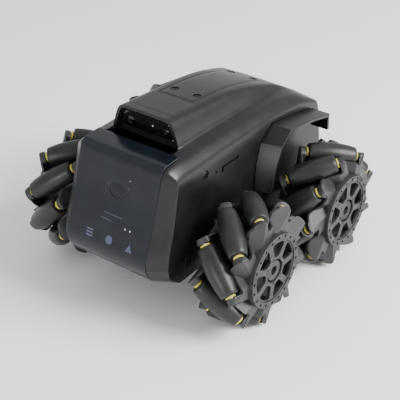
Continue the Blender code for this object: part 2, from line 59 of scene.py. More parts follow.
# Wheels: name, side, end, hand of the rollers, angle of the first roller
WHEEL_RADIUS = 0.0485
WHEEL_MIDDLE_X = 0.0803
WHEEL_BASE = 0.0995
AXLE_MIDDLE_Y = 0.0077
WHEELS = (
    ("fl", 1, -1, 1, math.radians(2.8)),
    ("rl", 1, 1, -1, math.radians(36.5)),
    ("fr", -1, -1, -1, math.radians(23.0)),
    ("rr", -1, 1, 1, math.radians(12.0)),
)
ROLLERS = 9
ROLLER_PITCH = math.tau / ROLLERS
ROLLER_CIRCLE = 0.0397
ROLLER_HALF_LENGTH = 0.0188
ROLLER_END_ROUND = 0.0009
ROLLER_BORE = 0.0021
PIN_RADIUS = 0.00147
PIN_TIP_RADIUS = 0.00105
PIN_HALF_LENGTH = 0.0226
BUSH_RADIUS = 0.0038
BUSH_BORE = 0.0015
BUSH_SPAN = (0.0190, 0.0205)
SMALL_CHAMFER = 0.0003

# Wheel plate, measured outwards from the wheel's middle plane
PLATE_EDGE = 0.00018
RING_FACE = 0.0230
RING_BACK = 0.0195
RING_RADIUS = 0.0287
RING_INNER_RADIUS = 0.0238
RING_HOLES = 20
RING_HOLE_RADIUS = 0.00115
RING_HOLE_CIRCLE = 0.0264
WEB_FACE = 0.0223
WEB_BACK = 0.0200
WEB_RADIUS = 0.0241
WINDOWS = 7
WINDOW_INNER = 0.0115
WINDOW_OUTER = 0.0226
SPOKE_HALF_WIDTH = 0.0024
WEB_BORE = 0.0092
WEB_HOLE_CIRCLE = 0.0103
WEB_HOLE_RADIUS = 0.0006
WEB_HOLE_LEAN = 0.11
BOSS_RADIUS = 0.0076
BOSS_BORE = 0.0035
BOSS_FACE = 0.0215
BOSS_BACK = 0.0160
SKIRT_FACE = 0.0200
SKIRT_START = 0.0282
SKIRT_THICK = 0.0022
FLAT_NEAR = 0.0060
FLAT_FAR = 0.01606
FOLD_MIDDLE = 0.01174
SLOPE_DOWN = 0.03606
SLOPE_UP = 0.0140
FLAT_RIM = (
    (0.00, 0.0380), (0.15, 0.0366), (0.35, 0.0358), (0.55, 0.0372),
    (0.70, 0.0402), (0.80, 0.0432), (0.87, 0.0450), (1.00, 0.0452),
)
DOWN_RIM = (0.0375, 0.0077)
UP_RIM = 0.0378
SKIRT_ROWS = 6
LUG_SPAN = (0.0211, 0.0254)
LUG_HALF_WIDTH = 0.0052
LUG_ROOT_HALF_WIDTH = 0.00468
LUG_TOP = 0.0032
LUG_ROOT = -0.0130
LUG_SUNK = 0.0002
# (along, radius) of the ring behind the plate, and of half the drum between the two plates
BACKING_RING = ((0.0165, 0.0238), (0.0202, 0.0238), (0.0202, 0.0285), (0.0165, 0.0285))
DRUM_HALF = (
    (0.0120, 0.0261), (0.0172, 0.0265), (0.0170, 0.0238), (0.0120, 0.0222),
    (0.0120, 0.0050), (0.0165, 0.0048), (0.0165, 0.0032),
)

# Body
SEAM_HEIGHT = 0.0560
SHELL_WALL = 0.0024
SCREEN_HALF_WIDTH = 0.0370
SCREEN_THICK = 0.0024
SCREEN_LINE = (
    (-0.1023, 0.0480), (-0.1059, 0.0560), (-0.1017, 0.0700), (-0.0970, 0.0840),
    (-0.0923, 0.0985), (-0.0877, 0.1156), (-0.0853, 0.1245), (-0.0829, 0.1271),
    (-0.0800, 0.1284), (-0.0662, 0.1291),
)
# height, front y, corner y, side x, rear y
PLAN_LEVELS = (
    (0.0345, -0.0843, -0.0790, 0.0460, 0.1030), (0.0446, -0.0998, -0.0915, 0.0478, 0.1042),
    (0.0480, -0.1023, -0.0935, 0.0481, 0.1042), (0.0560, -0.1059, -0.0953, 0.0485, 0.1040),
    (0.0845, -0.0968, -0.0870, 0.0475, 0.1024), (0.1156, -0.0877, -0.0796, 0.0463, 0.0985),
    (0.1245, -0.0853, -0.0783, 0.0459, 0.0972), (0.1600, -0.0760, -0.0700, 0.0450, 0.0930),
)
# y, height inside the ledge, at the ledge's edge, at the shoulder
ROOF_STATIONS = (
    (-0.0853, 0.1245, 0.1230, 0.1165), (-0.0829, 0.1271, 0.1252, 0.1180),
    (-0.0800, 0.1284, 0.1263, 0.1190), (-0.0583, 0.1290, 0.1271, 0.1200),
    (0.0077, 0.1288, 0.1276, 0.1210), (0.0440, 0.1280, 0.1270, 0.1208),
    (0.0577, 0.1274, 0.1258, 0.1198), (0.0717, 0.1252, 0.1232, 0.1183),
    (0.0840, 0.1212, 0.1190, 0.1158), (0.0980, 0.1124, 0.1112, 0.1100),
    (0.1150, 0.1020, 0.1010, 0.1000),
)
LEDGE_INNER_X = 0.0300
LEDGE_OUTER_X = 0.0390
SHOULDER_INSET = 0.0002
# Top of the strip beside the window: height at the window and at the side wall
FRONT_TOP_INNER_Z = 0.1238
FRONT_TOP_OUTER_Z = 0.1188
# y at the ledge and at the shoulder where that strip rolls over onto the roof
ROLL_ROWS = ((-0.0835, -0.0787), (-0.0815, -0.0780), (-0.0780, -0.0762), (-0.0720, -0.0720))
# y, height of the middle, half-width of the flat top
RIDGE_STATIONS = (
    (-0.0583, 0.1497, 0.0197), (-0.0233, 0.1473, 0.0200), (0.0108, 0.1447, 0.0205),
    (0.0370, 0.1400, 0.0212), (0.0547, 0.1350, 0.0220), (0.0727, 0.1282, 0.0232),
    (0.0870, 0.1188, 0.0245),
)
RIDGE_ARCH = 0.0004
HOOD_FRONT_Y = -0.0583
ROOF_REAR_Y = 0.0986
SILL_ROWS = (-0.0655, -0.0620)
ROOF_ROW_COUNT = 30
FRONT_ROW_COUNT = 10
HATCH_FRONT_Y = -0.0233
HATCH_REAR_Y = 0.0637
HATCH_HALF_WIDTH = 0.0155
HATCH_THICK = 0.0022
HATCH_GAP = 0.00035
HATCH_CUT_Z = (0.120, 0.170)
HATCH_ROWS = 22
HATCH_COLUMNS = 9
HATCH_SCREWS = ((0.0103, -0.0113), (0.0103, 0.0597))
SCREW_RADIUS = 0.0027
SCREW_WELL_RADIUS = 0.0033
SCREW_SUNK = 0.0004
SCREW_TURN = 0.6
# y and z on the side walls; each bar of the hooked slot has a low and a high corner
SIDE_SCREW = (-0.0488, 0.1105)
SIDE_DOT = (-0.0367, 0.1072)
SIDE_SLOT_BARS = (((-0.0300, 0.1069), (-0.0091, 0.1088)), ((-0.0300, 0.1036), (-0.0279, 0.1080)))
SIDE_WELL_DEPTH = 0.0010
SIDE_DOT_RADIUS = 0.0010
SIDE_DOT_DEPTH = 0.0020
SIDE_SLOT_DEPTH = 0.0015
SIDE_CUT_REACH = 0.060

# Marks on the window, by x and z, and the lean of its face
SCREEN_LEAN_COS = 0.95
SCREEN_LEAN_SIN = 0.31
WINDOW_GAP = 0.0004
MARK_LIFTS = (-0.0002, 0.00015)
PICTOGRAM_Z = 0.0665
PICTOGRAMS = ((-0.0168, "bars"), (0.0014, "disc"), (0.0199, "wedge"))
BAR_WIDTH = 0.0062
BAR_HEIGHT = 0.0012
BAR_PITCH = 0.0021
DISC_RADIUS = 0.0031
WEDGE = ((-0.0030, -0.0026), (0.0030, -0.0026), (0.0, 0.0030))
STROKE_HEIGHT = 0.0004
# width and middle of each stroke, radius and middle of each lamp
STROKES = ((0.0168, (0.0010, 0.0842)), (0.0095, (-0.0046, 0.0799)))
STATUS_LAMPS = (
    (0.0006, (0.0135, 0.0781)), (0.0006, (0.0181, 0.0781)), (0.0003, (0.0112, 0.1115)),
)
CAMERA_EYE = (0.0017, 0.1051)
CAMERA_RING = (
    (-0.0008, 0.0092), (0.00006, 0.0092), (0.0001, 0.0091), (0.00006, 0.0090), (-0.0008, 0.0090),
)
CAMERA_GLASS = ((-0.0006, 0.0060), (0.00003, 0.0060), (0.00010, 0.0045), (0.00014, 0.0008))

# Hood's mouth: share of the ridge's width, rise of the lower edge, drop of the upper edge
HOOD_OUTER = (0.985, 0.0002, 0.0004)
HOOD_STEP = (0.965, 0.0004, 0.0010)
HOOD_INNER = (0.885, 0.0010, 0.0050)
HOOD_PANE = (0.895, 0.0008, 0.0047)
HOOD_EDGE_Y = -0.0580
HOOD_INNER_Y = -0.0562
HOOD_BACK_Y = -0.0500
PANE_FACES_Y = (-0.0535, -0.0550)
LENS_BASE_Y = -0.0551
# x, z and radius
SENSOR_LENSES = (("a", -0.0150, 0.1375, 0.0030), ("b", 0.0170, 0.1375, 0.0020))
# The first sensor lamp is a real lamp; the two small dots after it glow as painted glints.
SENSOR_LAMP_AND_GLINTS = ((0.0045, 0.1385, 0.0006), (0.0225, 0.1325, 0.0003), (0.0190, 0.1430, 0.0003))
# Fenders: (y, z) along the top of the band, and how far its outer edge sits back by height
FENDER_LINE = (
    (0.0090, 0.0720), (0.0120, 0.0920), (0.0182, 0.1070), (0.0342, 0.1162),
    (0.0637, 0.1124), (0.0900, 0.1070),
)
FENDER_TURN = ((0.0720, 0.0), (0.0920, 0.0030), (0.1070, 0.0052), (0.1162, 0.0))
FENDER_OUTER_X = 0.0635
FENDER_THICK = 0.0028
FENDER_GAP = 0.0005
FLANGE_DROP = 0.0135
FLANGE_LEAN = 0.0004


# Shared helpers

def blank(name, bm, material=None):
    """An object from a bmesh, linked to the scene but not yet a piece."""
    mesh = bpy.data.meshes.new(name)
    bm.to_mesh(mesh)
    bm.free()
    if material:
        mesh.materials.append(material)
    obj = bpy.data.objects.new(name, mesh)
    bpy.context.scene.collection.objects.link(obj)
    return obj


def taken_mesh(obj):
    """An object's mesh, once the object itself is removed."""
    mesh = obj.data
    bpy.data.objects.remove(obj)
    return mesh


def mesh_object(name, bm, material, body, sharp=35.0):
    """A finished piece from a bmesh: smooth shaded, with its material and body."""
    obj = blank(name, bm, material)
    shade(obj, sharp)
    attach(obj, body)
    return obj


def shade(obj, sharp=35.0):
    obj.data.shade_smooth()
    obj.data.set_sharp_from_angle(angle=math.radians(sharp))


def bake(obj):
    """Applies an object's modifiers to its mesh."""
    bpy.context.view_layer.update()
    graph = bpy.context.evaluated_depsgraph_get()
    mesh = bpy.data.meshes.new_from_object(obj.evaluated_get(graph))
    obj.modifiers.clear()
    obj.data = mesh


def bevel(obj, width, angle=30.0, segments=3):
    modifier = obj.modifiers.new("Bevel", "BEVEL")
    modifier.width = width
    modifier.segments = segments
    modifier.limit_method = "ANGLE"
    modifier.angle_limit = math.radians(angle)
    bake(obj)


def weigh_normals(obj):
    """Keeps large faces flat in shading beside their rounded edges."""
    modifier = obj.modifiers.new("Weighted", "WEIGHTED_NORMAL")
    modifier.keep_sharp = True
    bake(obj)


def solidify(obj, thick):
    modifier = obj.modifiers.new("Solidify", "SOLIDIFY")
    modifier.thickness = thick
    modifier.offset = -1.0
    modifier.use_even_offset = True
    bake(obj)


def cut(obj, cutters):
    """Takes the shapes of some bmeshes out of an object."""
    for bm in cutters:
        bmesh.ops.recalc_face_normals(bm, faces=bm.faces)
        cutter = blank("cutter", bm)
        modifier = obj.modifiers.new("Cut", "BOOLEAN")
        modifier.operation = "DIFFERENCE"
        modifier.solver = "EXACT"
        modifier.object = cutter
        bake(obj)
        bpy.data.objects.remove(cutter)


def linear_at(table, key, column):
    """The value of a column of a table at a place along its first column."""
    rows = sorted(table)
    key = min(max(key, rows[0][0]), rows[-1][0])
    for low, high in zip(rows, rows[1:]):
        if key <= high[0]:
            share = (key - low[0]) / (high[0] - low[0])
            return low[column] + share * (high[column] - low[column])
    return rows[-1][column]


def smooth_at(table, key, column):
    """The same, on a smooth curve through the rows."""
    rows = sorted(table)
    key = min(max(key, rows[0][0]), rows[-1][0])
    secants = [(b[column] - a[column]) / (b[0] - a[0]) for a, b in zip(rows, rows[1:])]
    last = len(secants) - 1
    i = next((k for k in range(last) if key <= rows[k + 1][0]), last)
    slopes = []
    for k in (i, i + 1):
        near = secants[max(k - 1, 0):k + 1]
        slopes.append(sum(near) / len(near))
    width = rows[i + 1][0] - rows[i][0]
    s = (key - rows[i][0]) / width
    start = rows[i][column] * (1 + 2 * s) * (1 - s) ** 2 + slopes[0] * width * s * (1 - s) ** 2
    end = rows[i + 1][column] * s * s * (3 - 2 * s) - slopes[1] * width * s * s * (1 - s)
    return start + end


def smooth_line(points, steps, before=None):
    """Points on a smooth curve through some points, a few steps between each pair."""
    points = [Vector(p) for p in points]
    padded = [Vector(before) if before else points[0], *points, points[-1]]
    line = []
    for a, b, c, d in zip(padded, padded[1:], padded[2:], padded[3:]):
        for step in range(steps):
            s = step / steps
            curve = 2 * b + s * (c - a) + s * s * (2 * a - 5 * b + 4 * c - d)
            curve += s ** 3 * (3 * b - a - 3 * c + d)
            line.append(curve / 2)
    return line + [points[-1]]


def add_grid(bm, rows):
    """Quads between rows of points."""
    made = [[bm.verts.new(p) for p in row] for row in rows]
    for low, high in zip(made, made[1:]):
        for i in range(len(low) - 1):
            bm.faces.new((low[i], low[i + 1], high[i + 1], high[i]))


def add_loft(bm, rings, closed=False):
    """Quads between closed rings, with end faces or joined into a loop."""
    made = [[bm.verts.new(p) for p in ring] for ring in rings]
    pairs = list(zip(made, made[1:]))
    if closed:
        pairs.append((made[-1], made[0]))
    count = len(made[0])
    for low, high in pairs:
        for i in range(count):
            j = (i + 1) % count
            bm.faces.new((low[i], low[j], high[j], high[i]))
    if not closed:
        bm.faces.new(made[0][::-1])
        bm.faces.new(made[-1])


def tidy_mesh(bm, gap=1e-5):
    bmesh.ops.remove_doubles(bm, verts=bm.verts, dist=gap)
    bmesh.ops.recalc_face_normals(bm, faces=bm.faces)
    return bm


def box_mesh(low, high):
    bm = bmesh.new()
    rings = []
    for z in (low[2], high[2]):
        rings.append([
            (low[0], low[1], z), (high[0], low[1], z), (high[0], high[1], z), (low[0], high[1], z),
        ])
    add_loft(bm, rings)
    return bm


def turned(bm, profile, sides, matrix=Matrix.Identity(4), closed=False):
    """A shape turned round X from (along, radius) points, then placed by a matrix."""
    rings = []
    for along, radius in profile:
        ring = []
        for i in range(sides):
            angle = math.tau * i / sides
            point = Vector((along, radius * math.cos(angle), radius * math.sin(angle)))
            ring.append(matrix @ point)
        rings.append(ring)
    add_loft(bm, rings, closed)
    return bm


def facing(direction, place):
    """A matrix that turns +X towards a direction and moves to a place."""
    turn = Vector((1, 0, 0)).rotation_difference(Vector(direction))
    return Matrix.Translation(place) @ turn.to_matrix().to_4x4()


def rounded_copy(node, width, looks):
    """A CAD node's shape with its edges rounded, shown in the node's place."""
    bm = bmesh.new()
    bm.from_mesh(NODES[node].data)
    bmesh.ops.remove_doubles(bm, verts=bm.verts, dist=1e-5)
    bmesh.ops.dissolve_limit(
        bm, angle_limit=math.radians(1.5), verts=bm.verts, edges=bm.edges
    )
    obj = mesh_object(f"{node}_moulding", bm, looks["shell"], "chassis")
    bevel(obj, width)
    shade(obj, 50.0)
    weigh_normals(obj)
    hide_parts(node)


# Materials

def surface(name, colour, roughness, grain=1400.0, bump=0.05, mottle=0.25, spread=0.06):
    """A shader whose colour, roughness and height vary with fine and coarse noise."""
    material = bpy.data.materials.new(name)
    material.use_nodes = True
    nodes = material.node_tree.nodes
    links = material.node_tree.links
    shader = nodes["Principled BSDF"]
    place = nodes.new("ShaderNodeTexCoord")
    fine = nodes.new("ShaderNodeTexNoise")
    fine.inputs["Scale"].default_value = grain
    fine.inputs["Detail"].default_value = 3.0
    coarse = nodes.new("ShaderNodeTexNoise")
    coarse.inputs["Scale"].default_value = grain / 18
    coarse.inputs["Detail"].default_value = 4.0
    for noise in (fine, coarse):
        links.new(place.outputs["Object"], noise.inputs["Vector"])
    ramp = nodes.new("ShaderNodeValToRGB")
    ramp.color_ramp.elements[0].position = 0.3
    ramp.color_ramp.elements[1].position = 0.7
    ramp.color_ramp.elements[0].color = (*[c * (1 - mottle) for c in colour], 1)
    ramp.color_ramp.elements[1].color = (*[c * (1 + mottle) for c in colour], 1)
    links.new(coarse.outputs["Fac"], ramp.inputs["Fac"])
    links.new(ramp.outputs["Color"], shader.inputs["Base Color"])
    range_node = nodes.new("ShaderNodeMapRange")
    range_node.inputs["To Min"].default_value = max(roughness - spread, 0.02)
    range_node.inputs["To Max"].default_value = roughness + spread
    links.new(coarse.outputs["Fac"], range_node.inputs["Value"])
    links.new(range_node.outputs["Result"], shader.inputs["Roughness"])
    if bump:
        height = nodes.new("ShaderNodeBump")
        height.inputs["Strength"].default_value = bump
        height.inputs["Distance"].default_value = 0.0002
        links.new(fine.outputs["Fac"], height.inputs["Height"])
        links.new(height.outputs["Normal"], shader.inputs["Normal"])
    return material


def shader_of(material):
    return material.node_tree.nodes["Principled BSDF"]


def make_materials():
    looks = {
        "shell": surface("satin_black_abs", (0.006, 0.006, 0.0068), 0.32),
        "window": surface("smoked_window", (0.004, 0.006, 0.010), 0.20, bump=0.0, spread=0.05),
        "glass": surface("dark_lens", (0.004, 0.004, 0.005), 0.06, bump=0.0, spread=0.02),
        "nylon": surface("wheel_nylon", (0.026, 0.026, 0.028), 0.45, grain=2200.0, bump=0.10),
        "rubber": surface("roller_rubber", (0.014, 0.014, 0.0145), 0.38, grain=1800.0, bump=0.06),
        "bush": surface("bush_yellow", (0.55, 0.50, 0.09), 0.45),
        "steel": surface("turned_steel", (0.42, 0.42, 0.43), 0.30, mottle=0.1),
        "screw": surface("blackened_screw", (0.05, 0.05, 0.052), 0.30, mottle=0.1),
        "board": surface("circuit_green", (0.015, 0.09, 0.03), 0.40, grain=900.0),
        "wrap": surface("battery_wrap", (0.02, 0.05, 0.12), 0.35),
        "ink": surface("screen_ink", (0.055, 0.065, 0.11), 0.35, bump=0.0),
        # Glowing white: the real lamps, and painted glints on the hood's two small dots.
        "lamp": surface("lamp_and_glint_white", (0.45, 0.46, 0.5), 0.3, bump=0.0),
        "floor": surface("pale_floor", (0.95, 0.95, 0.96), 0.70, grain=60.0, bump=0.0, mottle=0.01),
    }
    for name in ("steel", "screw"):
        shader_of(looks[name]).inputs["Metallic"].default_value = 0.9
    for name in ("shell", "window", "nylon", "rubber"):
        shader_of(looks[name]).inputs["Specular IOR Level"].default_value = 0.36
    # The lamp finish's glow is also a painted glint on the hood's two small dots.
    for name, colour, strength in (("ink", (0.30, 0.36, 0.55), 0.02), ("lamp", (1, 1, 1), 0.2)):
        shader = shader_of(looks[name])
        shader.inputs["Emission Color"].default_value = (*colour, 1)
        shader.inputs["Emission Strength"].default_value = strength
    return looks


# Upper shell

def roof_height(y, column):
    return smooth_at(ROOF_STATIONS, y, column)


def ledge_inner(y):
    """The ledge where the window's edge would run back over the roof."""
    share = (SCREEN_HALF_WIDTH - LEDGE_INNER_X) / (LEDGE_OUTER_X - LEDGE_INNER_X)
    inner = roof_height(y, 1)
    z = inner + share * (roof_height(y, 2) - inner)
    return Vector((SCREEN_HALF_WIDTH, y, z))


def shoulder(y):
    z = roof_height(y, 3)
    return Vector((linear_at(PLAN_LEVELS, z, 3) - SHOULDER_INSET, y, z))


def ridge_outline(y):
    """Half of the ridge's section, from its middle out to its foot, as (x, z)."""
    foot = roof_height(y, 1)
    middle = max(smooth_at(RIDGE_STATIONS, y, 1), foot)
    if y > RIDGE_STATIONS[-1][0]:
        middle = foot
    top = smooth_at(RIDGE_STATIONS, y, 2)
    rise = middle - foot
    spread = LEDGE_INNER_X - top
    points = [
        (0.0, middle), (top * 0.6, middle - RIDGE_ARCH * 0.4), (top, middle - RIDGE_ARCH),
        (top + 0.42 * spread, foot + 0.84 * rise), (top + 0.71 * spread, foot + 0.52 * rise),
        (LEDGE_INNER_X, foot),
    ]
    return smooth_line(points, 3, before=(-top * 0.6, middle - RIDGE_ARCH * 0.4))


def roof_row(y):
    row = [Vector((x, y, z)) for x, z in ridge_outline(y)]
    return row + [ledge_inner(y)]


def ribbon_row(inner, outer, edge=None):
    """The four points of the strip between the window's edge and the side wall."""
    share = (LEDGE_OUTER_X - inner.x) / (outer.x - inner.x)
    edge = edge or inner.lerp(outer, share)
    return [inner, edge, edge.lerp(outer, 0.5), outer]


def front_row(share):
    """A row of the strip beside the window, from the seam up to the top."""
    inner_z = SEAM_HEIGHT + share * (FRONT_TOP_INNER_Z - SEAM_HEIGHT)
    outer_z = SEAM_HEIGHT + share * (FRONT_TOP_OUTER_Z - SEAM_HEIGHT)
    inner = Vector((SCREEN_HALF_WIDTH, smooth_at(PLAN_LEVELS, inner_z, 1), inner_z))
    outer = Vector((
        linear_at(PLAN_LEVELS, outer_z, 3), smooth_at(PLAN_LEVELS, outer_z, 2), outer_z,
    ))
    return ribbon_row(inner, outer)


def ledge_row(y, outer_y):
    edge = Vector((LEDGE_OUTER_X, y, roof_height(y, 2)))
    return ribbon_row(ledge_inner(y), shoulder(outer_y), edge)


def side_wall(front, top):
    """A grid that meets the front corner line and the shoulder line."""
    rows = []
    for v, corner in enumerate(front):
        row = [corner]
        for place in top[1:]:
            share = (place.y - top[0].y) / (top[-1].y - top[0].y)
            lift = (corner.z - SEAM_HEIGHT) / (front[-1].z - SEAM_HEIGHT)
            z = SEAM_HEIGHT + lift * (place.z - SEAM_HEIGHT)
            rear = linear_at(PLAN_LEVELS, z, 4)
            y = corner.y + share * (rear - corner.y)
            row.append(Vector((linear_at(PLAN_LEVELS, z, 3), y, z)))
        rows.append(row if v < len(front) - 1 else list(top))
    return rows


def half_shell():
    """The grids of one half: ridge, sill beside the hood, strip and ledge, side wall."""
    step = (ROOF_REAR_Y - HOOD_FRONT_Y) / (ROOF_ROW_COUNT - 1)
    places = [HOOD_FRONT_Y + step * i for i in range(ROOF_ROW_COUNT)]
    ribbon = [front_row(i / (FRONT_ROW_COUNT - 1)) for i in range(FRONT_ROW_COUNT)]
    ribbon += [ledge_row(y, outer_y) for y, outer_y in ROLL_ROWS]
    ribbon += [ledge_row(y, y) for y in (*SILL_ROWS, *places)]
    front = [row[-1] for row in ribbon[:FRONT_ROW_COUNT]]
    top = [row[-1] for row in ribbon[FRONT_ROW_COUNT - 1:]]
    sill = [roof_row(y)[-2:] for y in (*SILL_ROWS, HOOD_FRONT_Y)]
    return [[roof_row(y) for y in places], sill, ribbon, side_wall(front, top)]


def build_shell(looks):
    bm = bmesh.new()
    for rows in half_shell():
        add_grid(bm, rows)
        add_grid(bm, [[Vector((-p.x, p.y, p.z)) for p in reversed(row)] for row in rows])
    tidy_mesh(bm, 2e-5)
    upward = sum(face.normal.z * face.calc_area() for face in bm.faces)
    if upward < 0:
        bmesh.ops.reverse_faces(bm, faces=bm.faces)
    shell = mesh_object("upper_shell_moulding", bm, looks["shell"], "chassis")
    rounding = shell.modifiers.new("Rounding", "SUBSURF")
    rounding.levels = 1
    rounding.boundary_smooth = "PRESERVE_CORNERS"
    bake(shell)
    solidify(shell, SHELL_WALL)
    cutters = [box_mesh(
        (-HATCH_HALF_WIDTH - HATCH_GAP, HATCH_FRONT_Y - HATCH_GAP, HATCH_CUT_Z[0]),
        (HATCH_HALF_WIDTH + HATCH_GAP, HATCH_REAR_Y + HATCH_GAP, HATCH_CUT_Z[1]),
    )]
    for side in (-1, 1):
        cutters += side_cutters(side)
    cut(shell, cutters)
    shade(shell, 40.0)
    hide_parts("upper_shell")


def side_cutters(side):
    """The screw's well, the small hole and the hooked slot in a side wall."""
    surface_x = linear_at(PLAN_LEVELS, SIDE_SCREW[1], 3)
    reach = side * SIDE_CUT_REACH
    rounds = (
        (SIDE_SCREW, SCREW_WELL_RADIUS, SIDE_WELL_DEPTH),
        (SIDE_DOT, SIDE_DOT_RADIUS, SIDE_DOT_DEPTH),
    )
    cutters = []
    for (y, z), radius, depth in rounds:
        profile = ((side * (surface_x - depth), radius), (reach, radius))
        cutters.append(turned(bmesh.new(), profile, 28, Matrix.Translation((0, y, z))))
    near, beyond = sorted((side * (surface_x - SIDE_SLOT_DEPTH), reach))
    for low, high in SIDE_SLOT_BARS:
        cutters.append(box_mesh((near, *low), (beyond, *high)))
    return cutters


def build_hatch(looks):
    """The long lid on the ridge, with a well for each of its screws."""
    rows = []
    for i in range(HATCH_ROWS):
        y = HATCH_FRONT_Y + (HATCH_REAR_Y - HATCH_FRONT_Y) * i / (HATCH_ROWS - 1)
        middle = smooth_at(RIDGE_STATIONS, y, 1)
        top = smooth_at(RIDGE_STATIONS, y, 2)
        row = []
        for j in range(HATCH_COLUMNS):
            x = HATCH_HALF_WIDTH * (2 * j / (HATCH_COLUMNS - 1) - 1)
            row.append(Vector((x, y, middle - RIDGE_ARCH * (x / top) ** 2)))
        rows.append(row)
    bm = bmesh.new()
    add_grid(bm, rows)
    bm.normal_update()
    hatch = mesh_object("top_hatch_moulding", bm, looks["shell"], "chassis")
    solidify(hatch, HATCH_THICK)
    bevel(hatch, 0.00035, 50.0, 2)
    well = ((-0.0012, SCREW_WELL_RADIUS), (0.004, SCREW_WELL_RADIUS))
    cut(hatch, [
        turned(bmesh.new(), well, 28, facing(normal, place))
        for place, normal in hatch_screw_places()
    ])
    shade(hatch, 32.0)
    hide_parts("top_hatch")


def hatch_screw_places():
    """Where each screw of the hatch meets the ridge, and which way it faces."""
    places = []
    step = 0.002
    for x, y in HATCH_SCREWS:
        z = smooth_at(RIDGE_STATIONS, y, 1)
        rise = smooth_at(RIDGE_STATIONS, y + step, 1) - smooth_at(RIDGE_STATIONS, y - step, 1)
        normal = Vector((0, -rise, 2 * step)).normalized()
        places += [(Vector((side * x, y, z)), normal) for side in (-1, 1)]
    return places


def screw_mesh(material):
    """A pan head with a cross recess, its top at zero along +X."""
    bm = bmesh.new()
    radius = SCREW_RADIUS
    profile = (
        (-0.0012, radius * 0.92), (-0.0008, radius), (-0.0004, radius * 0.97),
        (-0.0001, radius * 0.80), (0.0, radius * 0.5), (0.0, radius * 0.2),
    )
    turned(bm, profile, 32)
    bmesh.ops.recalc_face_normals(bm, faces=bm.faces)
    head = blank("screw_head", bm, material)
    arm, half = radius * 0.62, radius * 0.13
    bottom, over = -0.0009, 0.001
    cut(head, [
        box_mesh((bottom, -arm, -half), (over, arm, half)),
        box_mesh((bottom, -half, -arm), (over, half, arm)),
    ])
    shade(head)
    return taken_mesh(head)


def build_screws(looks):
    mesh = screw_mesh(looks["screw"])
    places = []
    for i, (place, normal) in enumerate(hatch_screw_places()):
        places.append((f"hatch_screw_{i + 1}", place, normal))
    y, z = SIDE_SCREW
    x = linear_at(PLAN_LEVELS, z, 3)
    for name, side in (("left", 1), ("right", -1)):
        places.append((f"side_screw_{name}", Vector((side * x, y, z)), Vector((side, 0, 0))))
    for name, place, normal in places:
        matrix = facing(normal, place - normal * SCREW_SUNK) @ Matrix.Rotation(SCREW_TURN, 4, "X")
        placed(name, mesh, matrix, "chassis")


def offset_line(line, distance):
    """The (y, z) points of a line moved to its right-hand side, mitred at its corners."""
    moved = []
    for i, point in enumerate(line):
        before = Vector(line[max(i - 1, 0)])
        after = Vector(line[min(i + 1, len(line) - 1)])
        here = Vector(point)
        first = (here - before).normalized() if i else (after - here).normalized()
        second = (after - here).normalized() if i < len(line) - 1 else first
        normal = Vector((first.y + second.y, -first.x - second.x)).normalized()
        cosine = normal.dot(Vector((first.y, -first.x)))
        moved.append(tuple(here + normal * distance / max(cosine, 0.5)))
    return moved


def build_fender(node, side, looks):
    """A bent band over a rear wheel, its front facet turned a little outwards."""
    rear_y, rear_z = FENDER_LINE[-1]
    line = [*FENDER_LINE, (rear_y + FLANGE_LEAN, rear_z - FLANGE_DROP)]
    outline = line + offset_line(line, FENDER_THICK)[::-1]
    inner = []
    outer = []
    for y, z in outline:
        inner.append((side * (linear_at(PLAN_LEVELS, z, 3) + FENDER_GAP), y, z))
        turn = linear_at(FENDER_TURN, z, 1) if y < FENDER_LINE[4][0] else 0.0
        outer.append((side * FENDER_OUTER_X, y + turn, z))
    bm = bmesh.new()
    add_loft(bm, [inner, outer])
    tidy_mesh(bm, 1e-6)
    fender = mesh_object(f"{node}_moulding", bm, looks["shell"], "chassis")
    bevel(fender, 0.0004, 18.0, 3)
    shade(fender, 50.0)
    weigh_normals(fender)
    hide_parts(node)


# Front window and hood

def screen_y(z):
    by_height = [(height, y) for y, height in SCREEN_LINE]
    return smooth_at(by_height, z, 1)


def build_window(looks):
    line = smooth_line(SCREEN_LINE, 5)
    half = SCREEN_HALF_WIDTH - WINDOW_GAP
    columns = (-1.0, -0.98, -0.6, -0.2, 0.2, 0.6, 0.98, 1.0)
    rows = [[Vector((half * c, y, z)) for c in columns] for y, z in line]
    bm = bmesh.new()
    add_grid(bm, rows)
    bm.normal_update()
    window = mesh_object("front_window_panel", bm, looks["window"], "chassis")
    solidify(window, SCREEN_THICK)
    bevel(window, 0.0004, 50.0, 2)
    shade(window)
    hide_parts("front_window")


def screen_patch(bm, outline, middle):
    """A thin raised shape on the window from (across, up) points round a middle."""
    x0, z0 = middle
    rings = []
    for lift in MARK_LIFTS:
        ring = []
        for across, up in outline:
            z = z0 + up * SCREEN_LEAN_COS
            y = screen_y(z) - lift * SCREEN_LEAN_COS
            ring.append((x0 + across, y, z + lift * SCREEN_LEAN_SIN))
        rings.append(ring)
    add_loft(bm, rings)


def circle(radius, count=24):
    steps = [math.tau * i / count for i in range(count)]
    return [(radius * math.cos(a), radius * math.sin(a)) for a in steps]


def rounded_rectangle(width, height, corner):
    outline = []
    for turn, sx, sy in ((0, 1, 1), (1, -1, 1), (2, -1, -1), (3, 1, -1)):
        for step in range(4):
            angle = math.radians(90 * turn + 30 * step)
            outline.append((
                sx * (width / 2 - corner) + corner * math.cos(angle),
                sy * (height / 2 - corner) + corner * math.sin(angle),
            ))
    return outline


